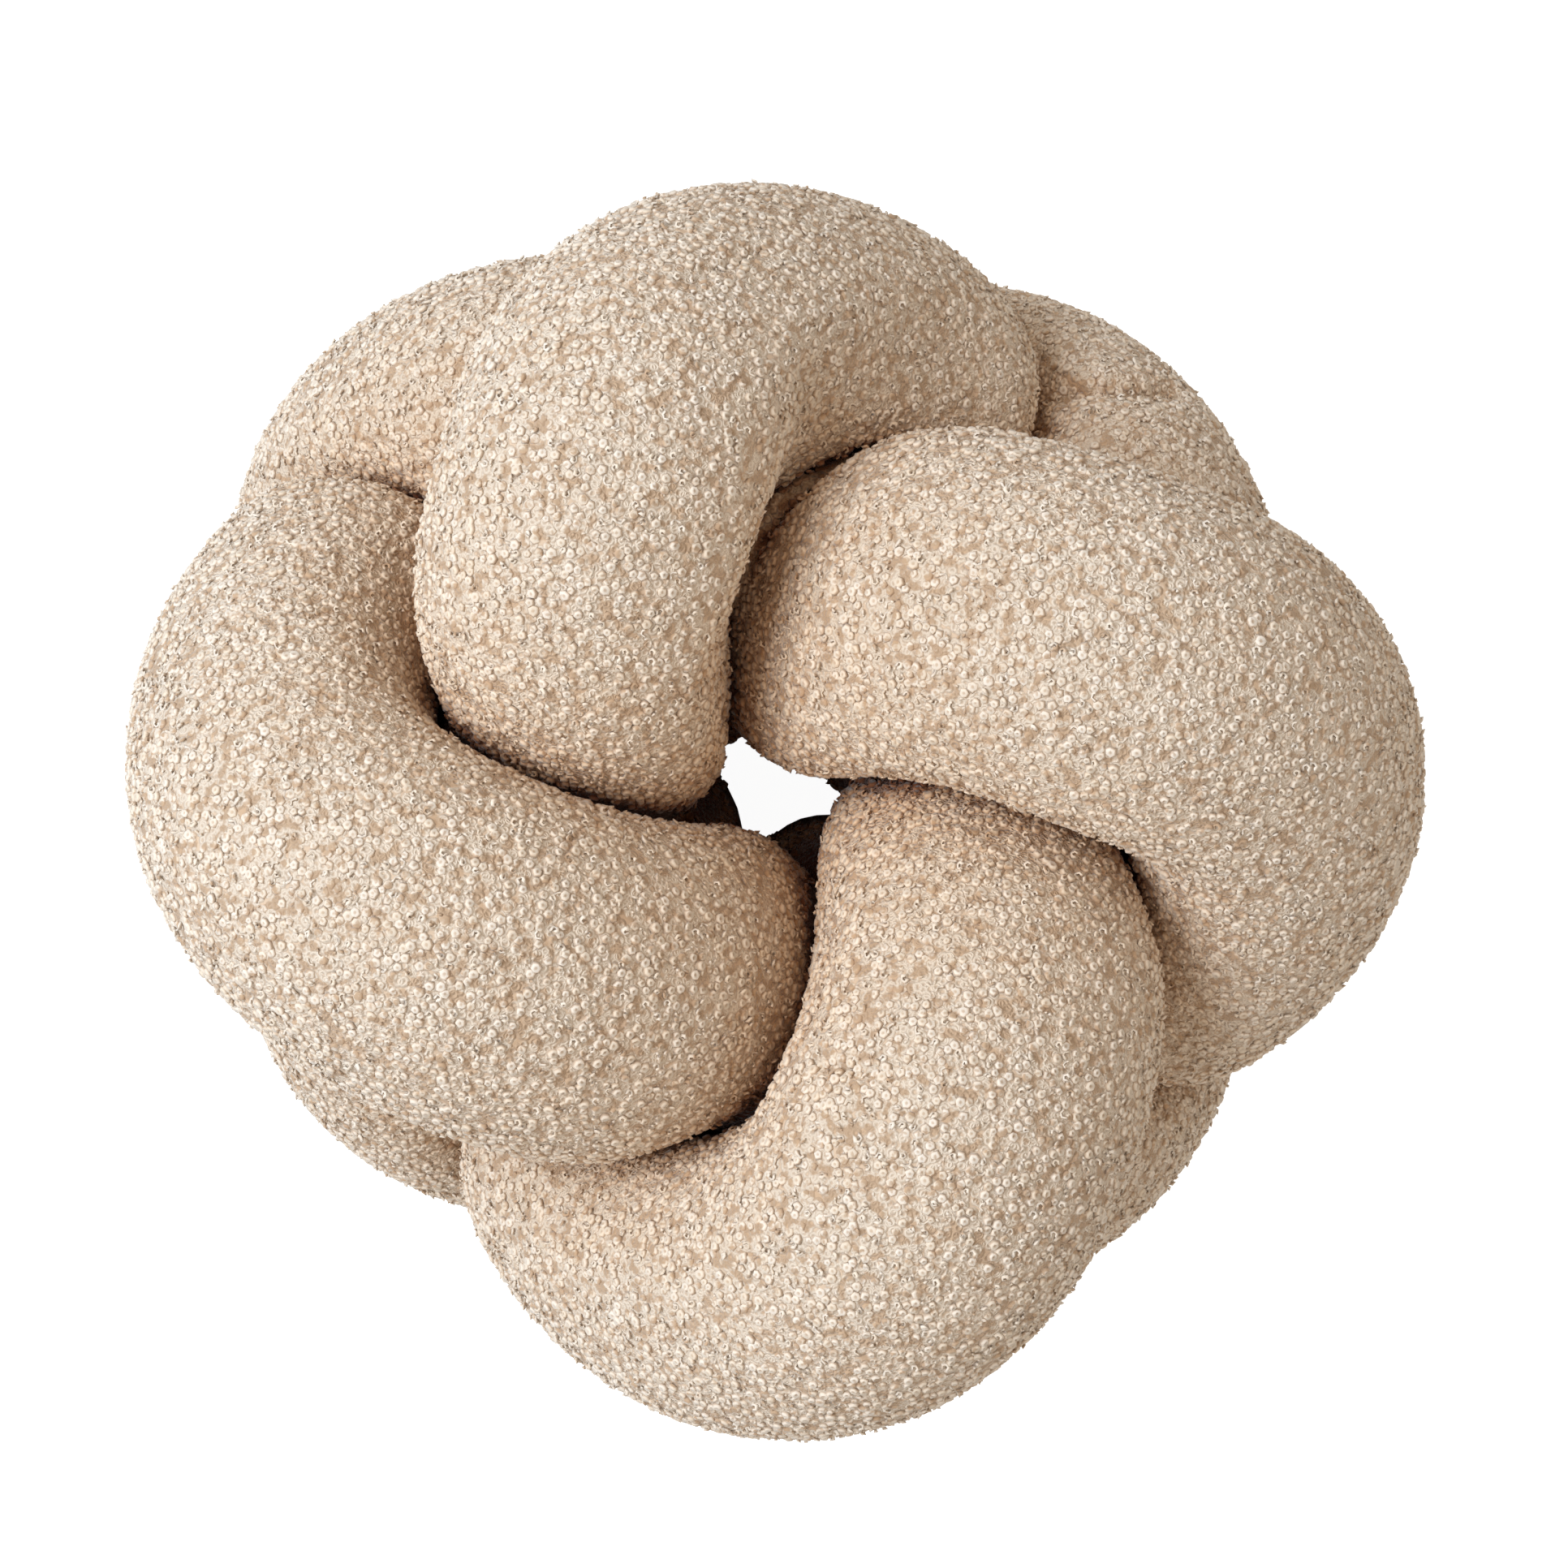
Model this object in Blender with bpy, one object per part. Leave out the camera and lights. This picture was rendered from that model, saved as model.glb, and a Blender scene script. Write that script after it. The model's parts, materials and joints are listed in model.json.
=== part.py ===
"""A knot cushion: one long stuffed tube of cloth, its two ends sewn together, tied as a Turk's head.

The tube goes three times round a hole in the middle while it rises and falls four times, so four
strands cross round the hole on top, four more cross round it underneath, and eight lobes stand round
the side. Everything is in metres, +Z up, with the origin under the middle of the cushion, at the floor.
"""

import math

import bpy
import numpy as np

# The stuffed tube
TUBE_RADIUS = 0.0435  # of a stretch that nothing presses
RINGS = 240  # sections along the tube
SIDES = 24  # points round a section
STRAND_GAP = 0.0022  # left between two strands that press on each other
ROUNDING = 9.0  # higher is a sharper corner where a strand leaves the one it presses
TIGHTEST_BEND = 0.76  # how near the inside of a bend may come to the middle of that bend
FAR = 10.0  # metres: nothing presses from there
PATH_STEPS = 40  # short steps along the path to each section, to space the sections evenly
SAME_STRAND = 2.4 * TUBE_RADIUS  # two sections nearer than this along the tube don't press on each other

# The filling: what is pressed in on one side of a section swells it on the others
FILL = 0.93  # of a round section's area that a pressed section keeps
MOST_SWELL = 1.16  # of the radius
MOST_SHRINK = 0.85
SETTLING = 6  # rounds of pressing and swelling, after which it stands still
EASING = 6  # times that each round eases the radius from section to section

# The path of the tube's middle, for one of its four rises and falls
TURNS = 3  # times round the hole
RISES = 4  # times up and down
MEAN_REACH = 0.0895  # from the hole's axis
OVER_UNDER = 0.0295  # further out where the tube passes over, and further in where it passes under
TOP_DRAW_IN = 0.0070  # nearer the axis at the highest and the lowest points
CLIMB = 0.0640  # half the height between the highest and the lowest points
CLIMB_SQUARE = 0.0098  # flattens the highest and lowest stretches
CLIMB_LEAN = 0.0107  # lifts the tube where it passes over
LAG = math.radians(4.9)  # how far the tube hurries round the axis where it passes under
TURN_OF_WHOLE = math.radians(128)  # where the first highest point is

# How far the knot is from an even one, in the order that the tube makes its passes: "at" counts quarters of
# a rise from the first lobe, "out" is millimetres away from the axis, "round" is degrees anticlockwise
# seen from above, and "fat" is a part of the tube's radius
PASSES = (
    # at, out, round, fat
    (0, -4, 10, -0.03),  # back lobe, on top
    (0.5, -2, -3, -0.01),  # its inner bend, pushed over towards the left lobe
    (1, 0, -4, -0.12),  # left of the hole
    (2, -6, -4, 0.00),  # front left lobe, underneath
    (3, 0, 0, 0.00),
    (4, 3, 7, 0.00),  # right lobe, on top
    (4.5, 0, -4, 0.03),  # its inner bend, pushed over towards the back lobe
    (5, -2, -5, 0.00),  # back of the hole
    (6, 8, 13, 0.00),  # back left lobe, underneath
    (7, 0, 0, 0.00),
    (8, -1, 2, 0.02),  # front lobe, on top
    (8.5, 0, -4, 0.08),  # its inner bend, full and pushed over towards the right lobe
    (9, 2, 0, 0.01),  # right of the hole
    (10, -8, 10, 0.00),  # back right lobe, underneath
    (11, 3, 0, 0.00),
    (12, 6, -7, -0.02),  # left lobe, on top
    (12.5, -6, -13, 0.10),  # its inner bend, the fullest, pushed over towards the front lobe
    (13, -2, -6, 0.00),  # front of the hole
    (14, -8, 5, 0.00),  # front right lobe, underneath
    (15, 0, 0, 0.00),
    (16, -4, 10, -0.03),  # back lobe again
)

# How the cushion rests
FLOOR_SQUASH = 0.0045  # height that its own weight flattens under each of the four lowest lobes


def unevenness(phase):
    """How far out, how far round and how much fatter the tube is at each phase, eased from pass to pass."""
    at, out, turned, fatter = np.array(PASSES).T
    along = (RISES * phase + math.pi / 4) * 2 / math.pi % at[-1]
    before = np.searchsorted(at, along, side="right") - 1
    ease = np.sin((along - at[before]) / (at[before + 1] - at[before]) * math.pi / 2) ** 2
    mixed = [column[before] * (1 - ease) + column[before + 1] * ease for column in (out, turned, fatter)]
    return mixed[0] / 1000, np.radians(mixed[1]), mixed[2]


def path_point(phase):
    """The middle of the tube at each phase from 0 to 2 pi, and how much fatter the tube is there."""
    climb = RISES * phase
    out, turned, fatter = unevenness(phase)
    reach = MEAN_REACH - OVER_UNDER * np.sin(2 * climb) - TOP_DRAW_IN * np.cos(2 * climb) + out
    angle = TURN_OF_WHOLE + TURNS * phase + LAG * np.sin(2 * climb) + turned
    height = CLIMB * np.cos(climb) + CLIMB_SQUARE * np.cos(3 * climb) - CLIMB_LEAN * np.sin(3 * climb)
    return np.stack([reach * np.cos(angle), reach * np.sin(angle), height], axis=-1), fatter


def even_path(count):
    """The path as points an equal distance apart, that distance, and the tube's radius at each point."""
    fine, fatter = path_point(np.linspace(0, 2 * math.pi, PATH_STEPS * count + 1))
    along = np.concatenate([[0], np.cumsum(np.linalg.norm(np.diff(fine, axis=0), axis=1))])
    wanted = np.linspace(0, along[-1], count, endpoint=False)
    points = np.stack([np.interp(wanted, along, fine[:, i]) for i in range(3)], axis=-1)
    return points, along[-1] / count, TUBE_RADIUS * (1 + np.interp(wanted, along, fatter))


def round_tube(points):
    """A plain round tube along the path, as a closed mesh whose points go ring by ring."""
    curve = bpy.data.curves.new("tube_path", "CURVE")
    curve.dimensions = "3D"
    curve.bevel_depth = TUBE_RADIUS
    curve.bevel_resolution = (SIDES - 4) // 2
    spline = curve.splines.new("POLY")
    spline.points.add(len(points) - 1)
    spline.points.foreach_set("co", np.hstack([points, np.ones((len(points), 1))]).ravel())
    spline.use_cyclic_u = True
    guide = bpy.data.objects.new("tube_path", curve)
    bpy.context.scene.collection.objects.link(guide)
    graph = bpy.context.evaluated_depsgraph_get()
    mesh = bpy.data.meshes.new_from_object(guide.evaluated_get(graph))
    bpy.data.objects.remove(guide)
    return mesh


def neighbours(points, step):
    """The distance from each section to each other one that could press on it, and the way there."""
    apart = points[None] - points[:, None]
    distance = np.linalg.norm(apart, axis=2)
    index = np.arange(len(points))
    along = np.abs(index[None] - index[:, None])
    along = np.minimum(along, len(points) - along) * step
    distance[along < SAME_STRAND] = FAR
    return distance, apart / distance[..., None]


def bend_room(points, step, outward):
    """How far each section may reach towards the inside of the tube's own bend."""
    tangent = (np.roll(points, -1, 0) - np.roll(points, 1, 0)) / (2 * step)
    bend = (np.roll(tangent, -1, 0) - np.roll(tangent, 1, 0)) / (2 * step)
    inward = np.einsum("ikc,ic->ik", outward, bend)
    return TIGHTEST_BEND / np.maximum(inward, 1 / FAR)


def smooth_least(*limits):
    """The least of several limits, with rounded corners where one takes over from another."""
    return sum(limit**-ROUNDING for limit in limits) ** (-1 / ROUNDING)


def smoothed(values, axis):
    """Each value eased towards its two neighbours."""
    return (np.roll(values, 1, axis) + 2 * values + np.roll(values, -1, axis)) / 4


def pressed_reach(points, step, full, outward):
    """The reach of each section in each direction, with the filling that is pressed in pushed out elsewhere."""
    distance, way = neighbours(points, step)
    facing = np.maximum(np.einsum("ikc,ijc->ikj", outward, way), 1 / FAR)
    bend = bend_room(points, step, outward)
    radius = full.copy()
    for _ in range(SETTLING):
        # The plane where two strands of these radii meet, as a distance from this one's middle
        meet = (distance**2 + radius[:, None] ** 2 - radius[None] ** 2) / (2 * distance) - STRAND_GAP / 2
        room = (meet[:, None] / facing).min(axis=2)
        reach = smooth_least(np.broadcast_to(radius[:, None], room.shape), room, bend)
        area = 0.5 * math.sin(2 * math.pi / SIDES) * (reach * np.roll(reach, -1, 1)).sum(axis=1)
        radius *= np.sqrt(FILL * math.pi * full**2 / area)
        radius = np.clip(radius, MOST_SHRINK * full, MOST_SWELL * full)
        for _ in range(EASING):
            radius = smoothed(radius, 0)
    return reach


def press_strands(mesh, points, step, full):
    """Moves the round tube's points in, to where its strands press on each other and on the floor."""
    co = np.empty(len(mesh.vertices) * 3)
    mesh.vertices.foreach_get("co", co)
    rings = co.reshape(len(points), -1, 3)
    outward = rings - points[:, None]
    outward /= np.linalg.norm(outward, axis=2)[..., None]
    rings = points[:, None] + pressed_reach(points, step, full, outward)[..., None] * outward
    low = rings[..., 2].min() + FLOOR_SQUASH
    rings[..., 2] = np.maximum(rings[..., 2], low)
    corner = (rings.reshape(-1, 3).min(axis=0) + rings.reshape(-1, 3).max(axis=0)) / 2
    rings -= [corner[0], corner[1], low]
    mesh.vertices.foreach_set("co", rings.astype(np.float32).ravel())
    mesh.update()


def boucle():
    """Cream looped cloth."""
    material = bpy.data.materials.new("boucle_cloth")
    material.use_nodes = True
    shader = material.node_tree.nodes["Principled BSDF"]
    shader.inputs["Base Color"].default_value = (0.62, 0.49, 0.36, 1)
    shader.inputs["Roughness"].default_value = 0.95
    shader.inputs["Metallic"].default_value = 0.0
    return material


def main():
    for old in list(bpy.data.objects):
        bpy.data.objects.remove(old)
    collection = bpy.data.collections.new("knot_cushion")
    bpy.context.scene.collection.children.link(collection)
    points, step, full = even_path(RINGS)
    mesh = round_tube(points)
    press_strands(mesh, points, step, full)
    mesh.name = "cushion"
    mesh.materials.append(boucle())
    mesh.shade_smooth()
    collection.objects.link(bpy.data.objects.new("cushion", mesh))


main()
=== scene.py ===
import json
import math

import bpy
import numpy as np
from mathutils import Matrix, Vector
from mathutils.bvhtree import BVHTree

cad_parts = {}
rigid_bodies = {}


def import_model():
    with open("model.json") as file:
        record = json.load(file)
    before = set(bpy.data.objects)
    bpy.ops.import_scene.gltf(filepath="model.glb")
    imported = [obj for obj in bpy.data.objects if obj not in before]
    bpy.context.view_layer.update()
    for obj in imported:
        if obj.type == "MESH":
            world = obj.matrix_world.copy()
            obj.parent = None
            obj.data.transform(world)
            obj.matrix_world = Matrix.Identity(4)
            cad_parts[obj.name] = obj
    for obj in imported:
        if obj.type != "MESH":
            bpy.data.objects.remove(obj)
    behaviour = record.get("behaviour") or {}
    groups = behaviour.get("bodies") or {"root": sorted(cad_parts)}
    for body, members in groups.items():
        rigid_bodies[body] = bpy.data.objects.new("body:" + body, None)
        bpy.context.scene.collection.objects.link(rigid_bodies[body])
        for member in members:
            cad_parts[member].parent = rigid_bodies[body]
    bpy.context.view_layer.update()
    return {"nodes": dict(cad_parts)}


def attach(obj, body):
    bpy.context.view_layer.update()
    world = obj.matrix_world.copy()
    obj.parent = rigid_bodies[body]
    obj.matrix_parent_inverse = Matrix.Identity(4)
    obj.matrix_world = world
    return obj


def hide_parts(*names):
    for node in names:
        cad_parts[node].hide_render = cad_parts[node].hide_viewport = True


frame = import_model()


# Camera: it looks almost straight down on the knot, tipped a few degrees towards the back, as a shopper looks
# at a cushion on the floor. The lens frames the whole knot with a margin all round.
LENS_MM = 82.8
TIP_BACK = math.radians(5)
LOOK_AT = Vector((0.0012, 0.0052, 0.1195))
CAMERA_AWAY = 1.0

camera = bpy.data.objects.new("camera", bpy.data.cameras.new("camera"))
bpy.context.scene.collection.objects.link(camera)
camera.data.lens = LENS_MM
camera.location = LOOK_AT + CAMERA_AWAY * Vector((0, math.sin(TIP_BACK), math.cos(TIP_BACK)))
camera.rotation_euler = (-TIP_BACK, 0, 0)
bpy.context.scene.camera = camera


# The cushion is one long tube of cream boucle, stuffed with loose polyester fibre until it is round, tied
# over and under itself into a knot with four lobes on top and four below, and sewn end to end out of sight.
# Pressure in the tied tube stands for the fibre's push: it fills the strands and presses them together.
FIBRE_PUSH = 3.0  # pressure in the tube, in Blender's own measure, as the five below are
CLOTH_WEIGHT = 0.3
CLOTH_STRETCH = 15.0  # how hard the cloth is to stretch or to crush
CLOTH_SHEAR = 5.0
CLOTH_BEND = 0.5
AIR_DAMPING = 3.0
CLOTH_THICKNESS = 0.001
FILLING_STEPS = 12
MOST_MOVED = 0.006  # from where the tied tube lay
FLOOR_LIFT = 0.0004  # the backing stands this far off the floor, on its loops
SAME_POINT = 1e-6  # corners nearer than this are one


def points_of(mesh):
    """The mesh's points, one row each."""
    points = np.empty(len(mesh.vertices) * 3, np.float32)
    mesh.vertices.foreach_get("co", points)
    return points.reshape(-1, 3).astype(float)


def move_points(mesh, points):
    """Puts the mesh's points at new places."""
    mesh.vertices.foreach_set("co", points.astype(np.float32).ravel())
    mesh.update()


def pick(thing):
    """Selects one object alone, for the operators that follow."""
    bpy.ops.object.select_all(action="DESELECT")
    thing.select_set(True)
    bpy.context.view_layer.objects.active = thing


cushion = bpy.data.objects.new("knot_cushion", frame["nodes"]["cushion"].data.copy())
bpy.context.scene.collection.objects.link(cushion)
pick(cushion)
bpy.ops.mesh.customdata_custom_splitnormals_clear()
bpy.ops.object.mode_set(mode="EDIT")
bpy.ops.mesh.select_all(action="SELECT")
bpy.ops.mesh.remove_doubles(threshold=SAME_POINT)
bpy.ops.mesh.tris_convert_to_quads()
bpy.ops.object.mode_set(mode="OBJECT")
finer = cushion.modifiers.new("finer", "SUBSURF")
finer.levels = finer.render_levels = 1
bpy.ops.object.modifier_apply(modifier=finer.name)
tied = points_of(cushion.data)

filling = cushion.modifiers.new("filling", "CLOTH")
filling.settings.use_pressure = True
filling.settings.uniform_pressure_force = FIBRE_PUSH
filling.settings.effector_weights.gravity = 0
filling.settings.mass = CLOTH_WEIGHT
filling.settings.tension_stiffness = CLOTH_STRETCH
filling.settings.compression_stiffness = CLOTH_STRETCH
filling.settings.shear_stiffness = CLOTH_SHEAR
filling.settings.bending_stiffness = CLOTH_BEND
filling.settings.air_damping = AIR_DAMPING
filling.collision_settings.use_collision = False
filling.collision_settings.use_self_collision = True
filling.collision_settings.self_distance_min = CLOTH_THICKNESS
filling.point_cache.frame_end = FILLING_STEPS
for step in range(1, FILLING_STEPS + 1):
    bpy.context.scene.frame_set(step)
pick(cushion)
bpy.ops.object.modifier_apply(modifier=filling.name)
moved = points_of(cushion.data) - tied
far = np.linalg.norm(moved, axis=1)
filled = tied + moved * (MOST_MOVED / np.maximum(far, MOST_MOVED))[:, None]
filled[:, 2] = np.maximum(filled[:, 2], FLOOR_LIFT)
move_points(cushion.data, filled)

# Where the tube is bent hard or was pressed by a hand, its cloth or its pile keeps a fold
FOLDS = (
    # places along the fold, half its width, its depth
    (  # crease across the back right lower lobe
        ((0.078, 0.113, 0.127), (0.085, 0.115, 0.130), (0.097, 0.115, 0.129), (0.110, 0.114, 0.118)),
        0.0036,
        0.0065,
    ),
    (  # parting of the pile on the back lobe
        ((-0.022, 0.138, 0.217), (-0.013, 0.144, 0.210), (-0.004, 0.147, 0.201)),
        0.0015,
        0.0016,
    ),
    (  # faint line on the front lobe
        ((0.010, -0.056, 0.226), (0.018, -0.056, 0.233), (0.027, -0.055, 0.240)),
        0.0017,
        0.0024,
    ),
)
FOLD_REACH = 3  # how far beside its line a fold is cut finer, in half widths
FOLD_MARGIN = 0.003  # and this much further
FOLD_CUTS = 3  # cuts across each face beside a fold, so that it bends sharply


def select_faces(thing, chosen):
    """Goes into edit mode with the chosen faces of one object selected alone."""
    pick(thing)
    bpy.ops.object.mode_set(mode="EDIT")
    bpy.ops.mesh.select_mode(type="FACE")
    bpy.ops.mesh.select_all(action="DESELECT")
    bpy.ops.object.mode_set(mode="OBJECT")
    thing.data.polygons.foreach_set("select", chosen)
    bpy.ops.object.mode_set(mode="EDIT")


def distance_to_line(points, corners):
    """How far each point is from a line of straight stretches between corners."""
    nearest = np.full(len(points), np.inf)
    for start, end in zip(corners[:-1], corners[1:]):
        stretch = end - start
        along = np.clip((points - start) @ stretch / (stretch @ stretch), 0, 1)
        nearest = np.minimum(nearest, np.linalg.norm(points - start - along[:, None] * stretch, axis=1))
    return nearest


for corners, half_width, depth in FOLDS:
    skin = BVHTree.FromObject(cushion, bpy.context.evaluated_depsgraph_get())
    corners = np.array([skin.find_nearest(corner)[0] for corner in corners])
    centres = np.array([face.center for face in cushion.data.polygons])
    select_faces(cushion, distance_to_line(centres, corners) < FOLD_REACH * half_width + FOLD_MARGIN)
    bpy.ops.mesh.subdivide(number_cuts=FOLD_CUTS)
    bpy.ops.object.mode_set(mode="OBJECT")
    there = points_of(cushion.data)
    normals = np.array([point.normal for point in cushion.data.vertices])
    sunk = depth * np.exp(-((distance_to_line(there, corners) / half_width) ** 2))
    move_points(cushion.data, there - sunk[:, None] * normals)
bpy.ops.object.shade_smooth()

# How open the cloth lies, for the painted crease shade in the yarn's colour and for where loops are laid: the
# share of lines of sight from it that get out of the knot
SIGHT_LINES = 24
SIGHT_START = 0.002  # off the cloth
SIGHT_REACH = 0.4  # a line that meets no cloth within this gets out
FLOOR_REACH = 0.1  # unless it meets the floor within this

skin = BVHTree.FromObject(cushion, bpy.context.evaluated_depsgraph_get())
open_share = np.zeros(len(cushion.data.vertices), np.float32)
heights = (np.arange(SIGHT_LINES) + 0.5) / SIGHT_LINES
turns = np.arange(SIGHT_LINES) * math.pi * (3 - math.sqrt(5))  # the golden angle spreads them evenly
lines_out = [
    Vector((math.sqrt(1 - up * up) * math.cos(turn), math.sqrt(1 - up * up) * math.sin(turn), up))
    for up, turn in zip(heights, turns)
]
for point in cushion.data.vertices:
    facing = point.normal.to_track_quat("Z", "Y")
    away = point.co + point.normal * SIGHT_START
    got_out = 0
    for line in lines_out:
        sight = facing @ line
        if sight.z > -away.z / FLOOR_REACH and skin.ray_cast(away, sight, SIGHT_REACH)[0] is None:
            got_out += 1
    open_share[point.index] = got_out / SIGHT_LINES
cushion.data.attributes.new("open", "FLOAT", "POINT").data.foreach_set("value", open_share)

# The yarn's colour, which the backing and the loops share, with painted shade where the yarn lies deep, in
# the pits between tufts and in creases
YARN_CREAM = (0.825, 0.77, 0.705, 1)
YARN_SHADE = (0.755, 0.67, 0.565, 1)
# brown painted shade for the gaps between loops: their feet, their eyes and the pits between tufts
PAINTED_GAP_SHADE = (0.46, 0.31, 0.19, 1)
TUFT = 0.0034  # across a tuft of loops that lean together
PIT_FLOOR, PIT_RIM = 0.38, 0.50  # the tufts' noise where a pit between them is deepest, and where it ends
FOOT_SHADE_SHARE = 0.6  # how far towards the painted gap shade the foot of the yarn goes
PIT_SHADE_SHARE = 0.85  # and the yarn in a pit, where the shade between tufts is painted
LEAST_LIGHT = 0.03  # the least share of the lines of sight that the colour reckons with
CREASE_OPEN = 0.15  # a crease is a place where fewer than this get out
CREASE_LIGHT = (
    # how fast each colour is lost to painted shade as the cloth lies less open, and how fast in a crease
    ("Red", 0.0, 1.0),
    ("Green", 0.15, 1.5),
    ("Blue", 0.32, 1.8),
)


def feed(links, socket, source):
    """Links a socket to another node's output, or sets it to a plain value."""
    if isinstance(source, bpy.types.NodeSocket):
        links.new(source, socket)
    else:
        socket.default_value = source


def mixed(nodes, links, factor, first, second, blend="MIX"):
    """A mix of two colours."""
    mix = nodes.new("ShaderNodeMix")
    mix.data_type = "RGBA"
    mix.blend_type = blend
    for socket, source in zip((mix.inputs[0], mix.inputs[6], mix.inputs[7]), (factor, first, second)):
        feed(links, socket, source)
    return mix.outputs[2]


def reckoned(nodes, links, operation, *sources, clamped=False):
    """A sum, product or other reckoning of numbers."""
    node = nodes.new("ShaderNodeMath")
    node.operation = operation
    node.use_clamp = clamped
    for socket, source in zip(node.inputs, sources):
        feed(links, socket, source)
    return node.outputs[0]


def tuft_noise(nodes):
    """Noise with patches the size of a tuft."""
    noise = nodes.new("ShaderNodeTexNoise")
    noise.inputs["Scale"].default_value = 1 / TUFT
    noise.inputs["Detail"].default_value = 2
    return noise


yarn_colour_and_shade = bpy.data.node_groups.new("yarn colour and painted shade", "ShaderNodeTree")
yarn_colour_and_shade.interface.new_socket("Depth", in_out="INPUT", socket_type="NodeSocketFloat")
yarn_colour_and_shade.interface.new_socket("Shade", in_out="INPUT", socket_type="NodeSocketFloat")
yarn_colour_and_shade.interface.new_socket("Colour", in_out="OUTPUT", socket_type="NodeSocketColor")
nodes, links = yarn_colour_and_shade.nodes, yarn_colour_and_shade.links
given = nodes.new("NodeGroupInput")
tufts = tuft_noise(nodes)
links.new(nodes.new("ShaderNodeTexCoord").outputs["Object"], tufts.inputs["Vector"])
pits = nodes.new("ShaderNodeMapRange")
pits.interpolation_type = "SMOOTHSTEP"
pits.inputs["From Min"].default_value = PIT_RIM
pits.inputs["From Max"].default_value = PIT_FLOOR
links.new(tufts.outputs["Fac"], pits.inputs["Value"])
yarn_face = mixed(nodes, links, given.outputs["Shade"], YARN_CREAM, YARN_SHADE)
# The yarn's foot and eye and the pits between tufts are painted towards the gap shade
foot_shade = reckoned(nodes, links, "MULTIPLY", given.outputs["Depth"], FOOT_SHADE_SHARE)
pit_shade = reckoned(nodes, links, "MULTIPLY", pits.outputs[0], PIT_SHADE_SHARE)
face = mixed(nodes, links, reckoned(nodes, links, "MAXIMUM", foot_shade, pit_shade), yarn_face, PAINTED_GAP_SHADE)
# Between two strands the light that arrives has bounced from cream yarn to cream yarn and turns warmer; this
# is painted into the colour as shade that darkens and warms the yarn as the cloth lies less open, most in a
# crease
opening = nodes.new("ShaderNodeAttribute")
opening.attribute_name = "open"
clear = reckoned(nodes, links, "MAXIMUM", opening.outputs["Fac"], LEAST_LIGHT)
shut = reckoned(nodes, links, "DIVIDE", clear, CREASE_OPEN, clamped=True)
painted_crease_shade = nodes.new("ShaderNodeCombineColor")
for channel, bounced, lost in CREASE_LIGHT:
    bounced_light = reckoned(nodes, links, "POWER", clear, bounced)
    crease_light = reckoned(nodes, links, "POWER", shut, lost)
    links.new(reckoned(nodes, links, "MULTIPLY", bounced_light, crease_light), painted_crease_shade.inputs[channel])
crease_shaded_face = mixed(nodes, links, 1, face, painted_crease_shade.outputs[0], blend="MULTIPLY")
links.new(crease_shaded_face, nodes.new("NodeGroupOutput").inputs["Colour"])


def new_material(name):
    """A material, with its nodes and links."""
    material = bpy.data.materials.new(name)
    material.use_nodes = True
    return material, material.node_tree.nodes, material.node_tree.links


def colour_yarn(nodes, links, depth, shade):
    """Gives a material the yarn's colour, by how dark its own shade is, with painted shade by how deep the
    yarn lies and how open the cloth is.
    """
    group = nodes.new("ShaderNodeGroup")
    group.node_tree = yarn_colour_and_shade
    links.new(depth, group.inputs["Depth"])
    feed(links, group.inputs["Shade"], shade)
    links.new(group.outputs["Colour"], nodes["Principled BSDF"].inputs["Base Color"])


# The backing that shows between the loops: its own yarn lies in two layers of flat curls
CURL_CELL = 0.0030  # room for one curl of the backing's own yarn
CURL_OUT = 0.0010  # from the middle of a curl to the middle of its yarn
CURL_YARN = 0.0006  # half the width that the yarn's round back takes
CURL_HEIGHT = 0.0005
CURL_ROUND = 0.9  # below 1 rounds the yarn's back, above 1 makes it a ridge
LOWER_SIZE = 0.8  # of the lower layer's curls, next to the upper layer's
LOWER_SHIFT = (0.31, 0.17, 0.23)  # sets the two layers' curls apart
BACKING_SHADE = 0.7  # from cream, 0, to shade, 1

boucle, nodes, links = new_material("cream boucle backing")
shader = nodes["Principled BSDF"]
shader.inputs["Roughness"].default_value = 0.95
shader.inputs["Sheen Weight"].default_value = 0.25
shader.inputs["Sheen Roughness"].default_value = 0.6
place = nodes.new("ShaderNodeTexCoord").outputs["Object"]
cloth_faces = nodes.new("ShaderNodeTexCoord").outputs["Normal"]


def vector_step(nodes, links, operation, *sources):
    """A sum, product or other reckoning of vectors."""
    node = nodes.new("ShaderNodeVectorMath")
    node.operation = operation
    sockets = (node.inputs[0], node.inputs["Scale"]) if operation == "SCALE" else node.inputs
    for socket, source in zip(sockets, sources):
        feed(links, socket, source)
    return node.outputs["Value" if operation in ("LENGTH", "DOT_PRODUCT") else "Vector"]


def curls(size, shift):
    """How high the yarn stands in a layer of curls: rings and parts of rings lying on the cloth."""
    cells = nodes.new("ShaderNodeTexVoronoi")
    cells.inputs["Scale"].default_value = 1 / (CURL_CELL * size)
    shifted = vector_step(nodes, links, "ADD", place, shift)
    links.new(shifted, cells.inputs["Vector"])
    apart = vector_step(nodes, links, "SUBTRACT", shifted, cells.outputs["Position"])
    through = vector_step(nodes, links, "DOT_PRODUCT", apart, cloth_faces)
    off_cloth = vector_step(nodes, links, "SCALE", cloth_faces, through)
    out = vector_step(nodes, links, "LENGTH", vector_step(nodes, links, "SUBTRACT", apart, off_cloth))
    off_yarn = reckoned(nodes, links, "ABSOLUTE", reckoned(nodes, links, "SUBTRACT", out, CURL_OUT * size))
    beside = reckoned(nodes, links, "DIVIDE", off_yarn, CURL_YARN, clamped=True)
    return reckoned(nodes, links, "SUBTRACT", 1, beside)


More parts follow.
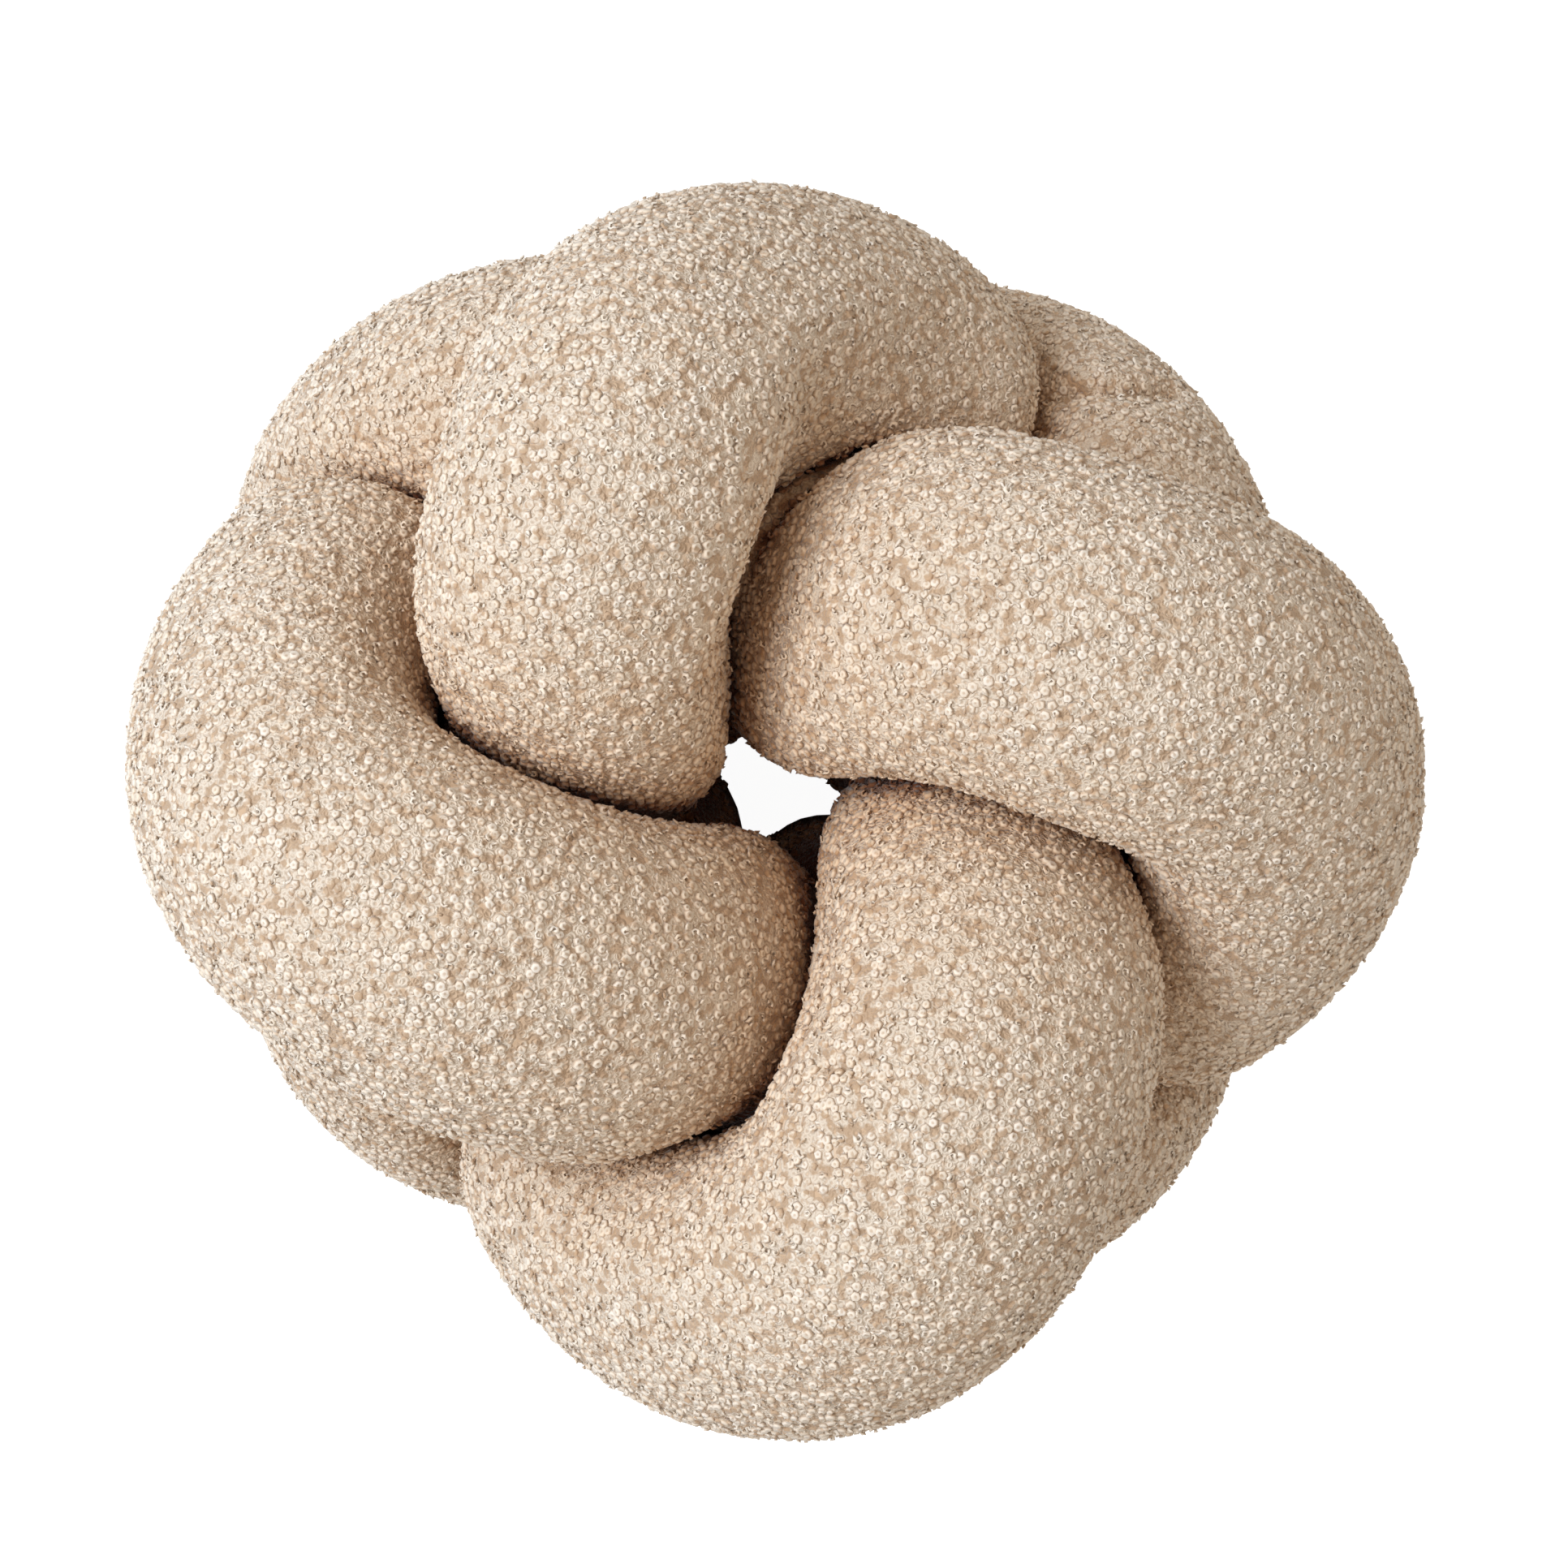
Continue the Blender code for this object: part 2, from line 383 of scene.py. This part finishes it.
highest = reckoned(nodes, links, "MAXIMUM", curls(1, (0, 0, 0)), curls(LOWER_SIZE, LOWER_SHIFT))
yarn_back = reckoned(nodes, links, "POWER", highest, CURL_ROUND)
bump = nodes.new("ShaderNodeBump")
bump.inputs["Distance"].default_value = CURL_HEIGHT
links.new(yarn_back, bump.inputs["Height"])
links.new(bump.outputs["Normal"], shader.inputs["Normal"])
# The low places between the backing's curls get the painted shade of the gaps
colour_yarn(nodes, links, reckoned(nodes, links, "SUBTRACT", 1, yarn_back), BACKING_SHADE)
cushion.data.materials.clear()
cushion.data.materials.append(boucle)
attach(cushion, "root")
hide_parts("cushion")


# The boucle's face: the fancy yarn stands out of the backing in small open loops, rings and hooks, close
# together and turned every way. Six loop shapes are modelled and laid by the thousand over the cloth, in six
# sectors round the hole, so that no piece gets too large.
LOOP_SIZE = 0.0028  # across the foot of a ring
LOOP_HEIGHT = 0.0011
CREST_SHARE = 0.60  # across the ring's top, as a share of its foot
EYE_DEPTH = 0.0008  # of the hole in the ring
UPWARD = 0.9  # a face whose normal rises more than this looks up
EYE_POINT = 1e-5  # the eye's own point is nearer than this to the ring's middle
UNEVEN = 0.16  # how far the ring's points are pushed in and out, as a share of its size
PULLED_DEPTH = 0.8  # how much painted shade a ring's pulled-down side gets, from 0, the crest, to 1, the foot
YARN_THICK = 0.0010
YARN_SIDES = 3
HOOK_LIFT = 0.0003  # of a standing hook's middle off its foot

loop_shapes = bpy.data.collections.new("loop shapes")


def keep_shape(shape, name, deep):
    """Puts a finished loop shape with the others, with how deep in the pile each of its points lies."""
    shape.name = name
    shape.data.attributes.new("deep", "FLOAT", "POINT").data.foreach_set("value", deep)
    bpy.ops.object.shade_smooth()
    for home in shape.users_collection:
        home.objects.unlink(shape)
    loop_shapes.objects.link(shape)


def ring_shape(name, corners, across, opening=0.0, drop=0.0):
    """A low ring of yarn with so many corners round its eye. A hook has one side pulled down by drop."""
    bpy.ops.object.select_all(action="DESELECT")
    bpy.ops.mesh.primitive_cone_add(
        vertices=corners, radius1=across / 2, radius2=across * CREST_SHARE / 2, depth=LOOP_HEIGHT
    )
    shape = bpy.context.object
    select_faces(shape, [face.normal.z > UPWARD for face in shape.data.polygons])
    bpy.ops.mesh.poke(offset=-EYE_DEPTH)
    bpy.ops.object.mode_set(mode="OBJECT")
    deep = []
    for point in shape.data.vertices:
        out = math.hypot(point.co.x, point.co.y)
        crest = out > EYE_POINT and point.co.z > 0
        deep.append(0.0 if crest else 1.0)
        if crest and point.co.x > out * (1 - opening):
            point.co.z -= drop
            deep[-1] = PULLED_DEPTH
        point.co.x *= 1 + UNEVEN * math.sin(5 * point.index)
        point.co.y *= 1 + UNEVEN * math.cos(3 * point.index)
    keep_shape(shape, name, deep)


def open_hook(name, segments, kept, across, rise, lean):
    """A hook of yarn standing out of the cloth, part of a ring with its ends filled and one end higher."""
    bpy.ops.object.select_all(action="DESELECT")
    bpy.ops.mesh.primitive_torus_add(
        major_segments=segments,
        minor_segments=YARN_SIDES,
        major_radius=(across - YARN_THICK) / 2,
        minor_radius=YARN_THICK / 2,
    )
    shape = bpy.context.object
    cut = math.tau * (segments - kept) / segments
    turns = [math.atan2(face.center.y, face.center.x) % math.tau for face in shape.data.polygons]
    select_faces(shape, [turn < cut for turn in turns])
    bpy.ops.mesh.delete(type="FACE")
    bpy.ops.mesh.select_all(action="SELECT")
    bpy.ops.mesh.fill_holes(sides=YARN_SIDES)
    bpy.ops.object.mode_set(mode="OBJECT")
    deep = []
    for point in shape.data.vertices:
        turn = math.atan2(point.co.y, point.co.x) % math.tau
        deep.append(0.0 if point.co.z > -YARN_THICK / 4 else 1.0)
        lying = Vector((point.co.x, point.co.y, point.co.z + rise * (turn / math.tau - 0.5)))
        point.co = Matrix.Rotation(lean, 3, "X") @ lying + Vector((0, 0, HOOK_LIFT))
    keep_shape(shape, name, deep)


ring_shape("loop_a_ring", corners=5, across=LOOP_SIZE * 0.95)
ring_shape("loop_b_ring", corners=6, across=LOOP_SIZE * 1.05)
ring_shape("loop_c_hook", corners=6, across=LOOP_SIZE * 1.1, opening=0.1, drop=0.0007)
ring_shape("loop_d_hook", corners=5, across=LOOP_SIZE, opening=0.1, drop=0.0006)
open_hook("loop_e_hook", segments=5, kept=4, across=0.0026, rise=0.0006, lean=0.9)
open_hook("loop_f_arc", segments=6, kept=3, across=0.0032, rise=0.0008, lean=1.2)

yarn, nodes, links = new_material("cream boucle yarn")
shader = nodes["Principled BSDF"]
shader.inputs["Roughness"].default_value = 0.9
shader.inputs["Sheen Weight"].default_value = 0.3
shader.inputs["Sheen Roughness"].default_value = 0.5
shade = nodes.new("ShaderNodeAttribute")
shade.attribute_name = "shade"
deep = nodes.new("ShaderNodeAttribute")
deep.attribute_name = "deep"
# The crest keeps its cream and the foot is painted dark with the gaps' shade, with a quick change between
# them
dark = nodes.new("ShaderNodeMapRange")
dark.interpolation_type = "SMOOTHSTEP"
dark.inputs["From Min"].default_value = 0.25
dark.inputs["From Max"].default_value = 0.75
links.new(deep.outputs["Fac"], dark.inputs["Value"])
colour_yarn(nodes, links, dark.outputs[0], shade.outputs["Fac"])

# How the loops lie on the cloth
SECTORS = 6
LOOP_SPACING = 0.00187
LOOPS_TRIED = 640000  # to the square metre, before those too close together are left out
LOOP_LIFT = 0.0003  # off the cloth, of a loop on the rim of a pit
TUFT_RISE = 0.0016  # from the lowest to the highest that a tuft's noise could lift a loop
LEAN = 0.2  # radians that a loop leans at most
LEAST_SIZE, MOST_SIZE = 0.82, 1.15  # of a loop next to its shape
RAY_START = 0.001  # off the cloth, where a look for the next strand starts
CROWDED = 0.0014  # no loops where it is nearer than this
LEAST_OPEN = 0.05  # no loops where fewer of the lines of sight than this get out
FLOOR_CLEAR = 0.0012  # no loops lower than this, because the cushion's weight presses them flat
THINNING, BARE = -0.35, -0.85  # how far down the cloth faces where the loops grow fewer, and where they end

tree = bpy.data.node_groups.new("lay the loops", "GeometryNodeTree")
tree.interface.new_socket("Geometry", in_out="INPUT", socket_type="NodeSocketGeometry")
tree.interface.new_socket("Sector", in_out="INPUT", socket_type="NodeSocketInt")
tree.interface.new_socket("Geometry", in_out="OUTPUT", socket_type="NodeSocketGeometry")
nodes, links = tree.nodes, tree.links


def wire(kind, settings=(), **inputs):
    """A node of one kind with its settings, and its inputs fed by name, where _ stands for a space."""
    node = nodes.new(kind)
    for name, value in dict(settings).items():
        setattr(node, name, value)
    for name, source in inputs.items():
        feed(links, node.inputs[name.replace("_", " ")], source)
    return node


def math_step(operation, *sources):
    """A reckoning of numbers in the loops' tree."""
    return reckoned(nodes, links, operation, *sources)


def random_step(data_type, low, high, seed):
    """A random value for each loop, from low to high."""
    node = nodes.new("FunctionNodeRandomValue")
    node.data_type = data_type
    first, out = {"FLOAT": (2, 1), "INT": (4, 2), "FLOAT_VECTOR": (0, 0)}[data_type]
    node.inputs[first].default_value = low
    node.inputs[first + 1].default_value = high
    node.inputs["Seed"].default_value = seed
    return node.outputs[out]


start = nodes.new("NodeGroupInput")
cloth = start.outputs["Geometry"]
scatter = wire(
    "GeometryNodeDistributePointsOnFaces",
    {"distribute_method": "POISSON"},
    Mesh=cloth,
    Distance_Min=LOOP_SPACING,
    Density_Max=LOOPS_TRIED,
    Seed=7,
)
position = nodes.new("GeometryNodeInputPosition").outputs[0]
outward = scatter.outputs["Normal"]
look_from = vector_step(nodes, links, "ADD", position, vector_step(nodes, links, "SCALE", outward, RAY_START))
ray = wire(
    "GeometryNodeRaycast",
    Target_Geometry=cloth,
    Source_Position=look_from,
    Ray_Direction=outward,
    Ray_Length=CROWDED,
)
at = wire("ShaderNodeSeparateXYZ", Vector=position).outputs
on_floor = math_step("LESS_THAN", at["Z"], FLOOR_CLEAR)
angle = math_step("ARCTAN2", at["Y"], at["X"])
sector = math_step("FLOOR", math_step("MULTIPLY", math_step("ADD", angle, math.pi), SECTORS / math.tau))
sectors_off = math_step("ABSOLUTE", math_step("SUBTRACT", sector, start.outputs["Sector"]))
openness = wire("GeometryNodeInputNamedAttribute", Name="open").outputs["Attribute"]
shut_in = math_step("LESS_THAN", openness, LEAST_OPEN)
upward = wire("ShaderNodeSeparateXYZ", Vector=outward).outputs["Z"]
under = math_step("LESS_THAN", upward, random_step("FLOAT", BARE, THINNING, seed=23))
tufts = tuft_noise(nodes).outputs[0]
in_pit = math_step("LESS_THAN", tufts, PIT_FLOOR)
left_out = ray.outputs["Is Hit"]
for reason in (on_floor, sectors_off, shut_in, under, in_pit):
    left_out = math_step("MAXIMUM", left_out, reason)
remove = wire(
    "GeometryNodeDeleteGeometry",
    {"domain": "POINT"},
    Geometry=scatter.outputs["Points"],
    Selection=left_out,
)
tuft_height = math_step("MULTIPLY", math_step("SUBTRACT", tufts, PIT_RIM), TUFT_RISE)
rise = vector_step(nodes, links, "SCALE", outward, math_step("ADD", tuft_height, LOOP_LIFT))
lift = wire("GeometryNodeSetPosition", Geometry=remove.outputs[0], Offset=rise)
shapes = wire(
    "GeometryNodeCollectionInfo",
    Collection=loop_shapes,
    Separate_Children=True,
    Reset_Children=True,
)
lean = random_step("FLOAT_VECTOR", (-LEAN, -LEAN, 0), (LEAN, LEAN, math.tau), seed=11)
turned = wire(
    "FunctionNodeRotateRotation",
    {"rotation_space": "LOCAL"},
    Rotation=scatter.outputs["Rotation"],
    Rotate_By=wire("FunctionNodeEulerToRotation", Euler=lean).outputs[0],
)
lay = wire(
    "GeometryNodeInstanceOnPoints",
    Points=lift.outputs[0],
    Instance=shapes.outputs[0],
    Pick_Instance=True,
    Instance_Index=random_step("INT", 0, len(loop_shapes.objects) - 1, seed=13),
    Rotation=turned.outputs[0],
    Scale=random_step("FLOAT", LEAST_SIZE, MOST_SIZE, seed=17),
)
store = wire(
    "GeometryNodeStoreNamedAttribute",
    {"data_type": "FLOAT", "domain": "INSTANCE"},
    Geometry=lay.outputs[0],
    Name="shade",
    Value=random_step("FLOAT", 0.0, 1.0, seed=19),
)
realize = wire("GeometryNodeRealizeInstances", Geometry=store.outputs[0])
links.new(realize.outputs[0], nodes.new("NodeGroupOutput").inputs["Geometry"])

for index in range(SECTORS):
    loops = bpy.data.objects.new(f"boucle_loops_{index + 1}", cushion.data.copy())
    bpy.context.scene.collection.objects.link(loops)
    laying = loops.modifiers.new("laying", "NODES")
    laying.node_group = tree
    laying[tree.interface.items_tree["Sector"].identifier] = index
    pick(loops)
    bpy.ops.object.modifier_apply(modifier=laying.name)
    loops.data.materials.clear()
    loops.data.materials.append(yarn)
    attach(loops, "root")


# Studio: a plain pale floor that carries the cushion, cool soft light from one large box high up on the left,
# and a pale room all round, which lights the cushion warmly and looks white itself.
FLOOR_SIZE = 6
FLOOR_BELOW = 0.0002  # under the cushion's lowest face
FLOOR_PAINT = (0.42, 0.42, 0.42, 1)
FLOOR_GLOW = 0.95  # added where the camera sees the floor, so that it looks white
ROOM_LIGHT = (1, 0.87, 0.73, 1)
ROOM_SEEN = (1.25, 1.25, 1.25, 1)
ROOM_STRENGTH = 0.77
LIGHT_AT = Vector((-1.15, 0.3, 1.6))
LIGHT_WIDTH = 1.2
LIGHT_WATTS = 32
LIGHT_COLOUR = (0.84, 0.92, 1.0)

bpy.ops.object.select_all(action="DESELECT")
bpy.ops.mesh.primitive_plane_add(size=FLOOR_SIZE, location=(0, 0, -FLOOR_BELOW))
floor = bpy.context.object
floor.name = "floor"
paint, nodes, links = new_material("pale floor")
shader = nodes["Principled BSDF"]
shader.inputs["Base Color"].default_value = FLOOR_PAINT
shader.inputs["Roughness"].default_value = 0.9
shader.inputs["Emission Color"].default_value = (1, 1, 1, 1)
seen = nodes.new("ShaderNodeLightPath").outputs["Is Camera Ray"]
links.new(reckoned(nodes, links, "MULTIPLY", seen, FLOOR_GLOW), shader.inputs["Emission Strength"])
floor.data.materials.append(paint)

world = bpy.data.worlds.new("studio")
bpy.context.scene.world = world
world.use_nodes = True
nodes, links = world.node_tree.nodes, world.node_tree.links
seen = nodes.new("ShaderNodeLightPath").outputs["Is Camera Ray"]
links.new(mixed(nodes, links, seen, ROOM_LIGHT, ROOM_SEEN), nodes["Background"].inputs["Color"])
nodes["Background"].inputs["Strength"].default_value = ROOM_STRENGTH

light_box = bpy.data.objects.new("key light", bpy.data.lights.new("key light", "AREA"))
light_box.data.size = LIGHT_WIDTH
light_box.data.energy = LIGHT_WATTS
light_box.data.color = LIGHT_COLOUR
light_box.location = LIGHT_AT
light_box.rotation_euler = (LOOK_AT - LIGHT_AT).to_track_quat("-Z", "Y").to_euler()
bpy.context.scene.collection.objects.link(light_box)

bpy.context.scene.view_settings.view_transform = "Standard"
